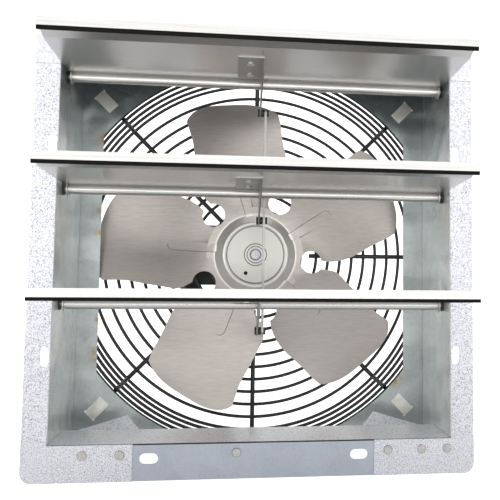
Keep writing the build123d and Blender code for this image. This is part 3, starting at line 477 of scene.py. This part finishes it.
# Guard clips: bright zinc-plated strips. Each is folded over the guard's rim and goes
# through one of the wings.
clip_zinc = tarnished(
    "clip_zinc", 160.0, (0.86, 0.85, 0.80), (0.70, 0.68, 0.60), 0.8, 0.30, 0.45, 0.2
)
wear_finish(("guard_clips",), clip_zinc)


# Pivot bushes: black moulded nylon, pushed into the side walls, where the shutters' pins
# turn in them.
bush_nylon = tarnished(
    "bush_nylon", 300.0, (0.030, 0.030, 0.032), (0.055, 0.055, 0.058), 0.0, 0.42, 0.60, 0.3
)
wear_finish(("pivot_bushes",), bush_nylon)


# Shutters: thin mill-finish aluminium with rolling lines along their length, a rolled tube
# at the hinge and a bright lip in front.
def build_rolling_group():
    """Fine lines left by rolling or brushing, drawn out along one axis."""
    tree, given, result = start_group(
        "Rolling Lines",
        (("Vector", "Vector"), ("Clean Color", "Color"), ("Line Color", "Color")),
        (("Color", "Color"), ("Height", "Float")),
    )
    lines = noise(tree, given["Vector"], 1.0, 5.0, 0.6)
    tint = mixed(tree, lines, given["Clean Color"], given["Line Color"])
    tree.links.new(tint, result["Color"])
    tree.links.new(lines, result["Height"])
    return tree


rolling_lines = build_rolling_group()
line_relief = 0.0001


def rolled(name, stretch, clean, line, metallic, roughness, bump):
    """Rolled or brushed metal; stretch is how fine the lines are along X, Y and Z."""
    material, tree, shader = start_finish(name, clean, metallic, roughness)
    place = tree.nodes.new("ShaderNodeTexCoord").outputs["Object"]
    drawn = tree.nodes.new("ShaderNodeMapping")
    drawn.inputs["Scale"].default_value = stretch
    tree.links.new(place, drawn.inputs["Vector"])
    lines = add_group(
        tree,
        rolling_lines,
        {"Vector": drawn.outputs["Vector"], "Clean Color": clean, "Line Color": line},
    )
    tree.links.new(lines["Color"], shader.inputs["Base Color"])
    raise_relief(tree, shader, lines["Height"], bump, line_relief)
    return material


shutter_places = ("top", "middle", "bottom")
shutter_sheet = rolled(
    "shutter_sheet", (14.0, 800.0, 800.0), (0.76, 0.75, 0.73), (0.54, 0.53, 0.515), 0.92, 0.26, 0.15
)
wear_finish([f"shutter_{place}" for place in shutter_places], shutter_sheet)


# Seal strips: matt black sponge rubber, one length behind each shutter's lip, where it
# quiets the shutter as it closes. The sponge hardly shines.
seal_sponge = tarnished(
    "seal_sponge", 900.0, (0.003, 0.003, 0.003), (0.012, 0.012, 0.011), 0.0, 0.85, 0.98, 0.8
)
seal_sponge.node_tree.nodes["Principled BSDF"].inputs["Specular IOR Level"].default_value = 0.15
wear_finish([f"seal_strip_{place}" for place in shutter_places], seal_sponge)


# Shutter pivots: turned steel pins in the tube ends, with a thin zinc-plated washer on each
# to keep the tube off the bush.
turned_steel = tarnished(
    "turned_steel", 260.0, (0.62, 0.62, 0.61), (0.42, 0.42, 0.41), 0.95, 0.28, 0.42, 0.15
)
wear_finish([f"pivot_pins_{place}" for place in shutter_places], turned_steel)
zinc_plate = tarnished(
    "zinc_plate", 240.0, (0.80, 0.79, 0.75), (0.58, 0.57, 0.52), 0.85, 0.30, 0.48, 0.2
)
wear_finish([f"pivot_washers_{place}" for place in shutter_places], zinc_plate)


# Link brackets and tie bar: stamped aluminium strip. Each bracket is riveted under its
# shutter, and a black snap pin joins it to the bar.
stamped_strip = rolled(
    "stamped_strip", (900.0, 900.0, 40.0), (0.50, 0.50, 0.48), (0.34, 0.34, 0.33), 0.9, 0.36, 0.2
)
wear_finish(["tie_bar"] + [f"link_bracket_{place}" for place in shutter_places], stamped_strip)
wear_finish([f"bracket_rivets_{place}" for place in shutter_places], zinc_plate)
snap_nylon = tarnished(
    "snap_nylon", 500.0, (0.018, 0.018, 0.019), (0.040, 0.040, 0.042), 0.0, 0.38, 0.55, 0.3
)
wear_finish([f"link_pin_{place}" for place in shutter_places], snap_nylon)


# Wire guard and motor plate: steel wire rings welded to eight struts, under a black coat
# that is a little glossy.
guard_coat = tarnished(
    "guard_coat", 90.0, (0.010, 0.010, 0.011), (0.024, 0.024, 0.026), 0.0, 0.22, 0.38, 0.25
)
wear_finish(("guard_rings", "guard_side_rings", "guard_struts", "motor_mount_plate"), guard_coat)


# Motor: painted bells and shell round a stack of core sheets that is wound with enamelled
# wire. The shaft runs in two bearings, and four long plated bolts clamp it all together.
motor_coat = tarnished(
    "motor_coat", 120.0, (0.014, 0.014, 0.016), (0.030, 0.030, 0.034), 0.0, 0.40, 0.55, 0.5
)
wear_finish(("motor_front_bell", "motor_shell", "motor_rear_bell"), motor_coat)
core_sheet = rolled(
    "core_sheet", (30.0, 2600.0, 30.0), (0.42, 0.42, 0.44), (0.22, 0.22, 0.24), 0.9, 0.45, 0.4
)
wear_finish(("stator_core", "rotor_core"), core_sheet)
enamelled_wire = rolled(
    "enamelled_wire", (300.0, 2000.0, 300.0), (0.62, 0.28, 0.12), (0.40, 0.16, 0.06), 0.8, 0.35, 0.5
)
wear_finish(("stator_windings",), enamelled_wire)
ground_steel = rolled(
    "ground_steel", (60.0, 1800.0, 60.0), (0.52, 0.52, 0.53), (0.34, 0.34, 0.35), 0.95, 0.22, 0.1
)
wear_finish(("front_bearing", "rear_bearing", "motor_shaft"), ground_steel)
wear_finish(("motor_through_bolts", "motor_mount_nuts"), zinc_plate)


# Terminal box: painted sheet box on the motor's side, with its cover, screws, gland and
# what it holds.
wear_finish(("terminal_box", "terminal_box_saddle", "terminal_box_cover"), motor_coat)
wear_finish(("terminal_cover_screws",), zinc_plate)
wear_finish(("cable_gland", "gland_nut", "gland_locknut"), bush_nylon)
block_nylon = tarnished(
    "block_nylon", 200.0, (0.80, 0.77, 0.68), (0.68, 0.64, 0.55), 0.0, 0.45, 0.60, 0.2
)
wear_finish(("terminal_block",), block_nylon)
can_plastic = tarnished(
    "can_plastic", 150.0, (0.06, 0.06, 0.065), (0.10, 0.10, 0.11), 0.0, 0.35, 0.50, 0.2
)
wear_finish(("run_capacitor",), can_plastic)


# Fan: five blades pressed with their centre from one aluminium sheet, then brushed. The
# raised centre is painted brighter, a painted highlight against the shade and dark
# reflection its steep ring shows, and its flat disc is given a duller grey. The hub behind
# them is plated steel and grips the shaft with one set screw.
centre_cover = 0.85
fan_sheet = rolled(
    "fan_sheet", (90.0, 90.0, 700.0), (0.60, 0.555, 0.52), (0.38, 0.345, 0.32), 0.72, 0.31, 0.20
)
fan_tree = fan_sheet.node_tree
fan_base = fan_tree.nodes["Principled BSDF"].inputs["Base Color"]
_, fan_axes = object_place(fan_tree)
fan_flat = fan_tree.nodes.new("ShaderNodeCombineXYZ")
fan_tree.links.new(fan_axes["X"], fan_flat.inputs["X"])
fan_tree.links.new(fan_axes["Z"], fan_flat.inputs["Z"])
from_shaft = fan_tree.nodes.new("ShaderNodeVectorMath")
from_shaft.operation = "LENGTH"
fan_tree.links.new(fan_flat.outputs["Vector"], from_shaft.inputs[0])
fan_color = fan_base.links[0].from_socket
# Painted highlight: the raised centre out to about 40 mm is lightened; the flat disc inside the
# bead then gets a darker grey.
for full_to, gone_at, centre_highlight_and_tone in (
    (0.0395, 0.0425, (0.95, 0.90, 0.86)),
    (0.0300, 0.0312, (0.52, 0.52, 0.47)),
):
    within = ramp(
        fan_tree,
        from_shaft.outputs["Value"],
        full_to,
        gone_at,
        centre_cover,
        0.0,
        interpolation="SMOOTHSTEP",
    )
    fan_color = mixed(fan_tree, within, fan_color, centre_highlight_and_tone)
fan_tree.links.new(fan_color, fan_base)
wear_finish(("fan_blades",), fan_sheet)

turning_scale = 115.0
turning_wobble = 0.4
groove_grey, ridge_grey = (0.20, 0.20, 0.19), (0.66, 0.66, 0.63)
turned_hub, hub_tree, hub_shader = start_finish("turned_hub", (0.5, 0.5, 0.48), 0.85, 0.32)
hub_place = hub_tree.nodes.new("ShaderNodeTexCoord").outputs["Object"]
turning_lines = hub_tree.nodes.new("ShaderNodeTexWave")
turning_lines.wave_type = "RINGS"
turning_lines.rings_direction = "Y"
turning_lines.inputs["Scale"].default_value = turning_scale
turning_lines.inputs["Distortion"].default_value = turning_wobble
hub_tree.links.new(hub_place, turning_lines.inputs["Vector"])
hub_color = mixed(hub_tree, turning_lines.outputs["Fac"], groove_grey, ridge_grey)
hub_tree.links.new(hub_color, hub_shader.inputs["Base Color"])
raise_relief(hub_tree, hub_shader, turning_lines.outputs["Fac"], 0.5, patch_relief)
wear_finish(("fan_hub",), turned_hub)
wear_finish(("hub_set_screw",), zinc_plate)
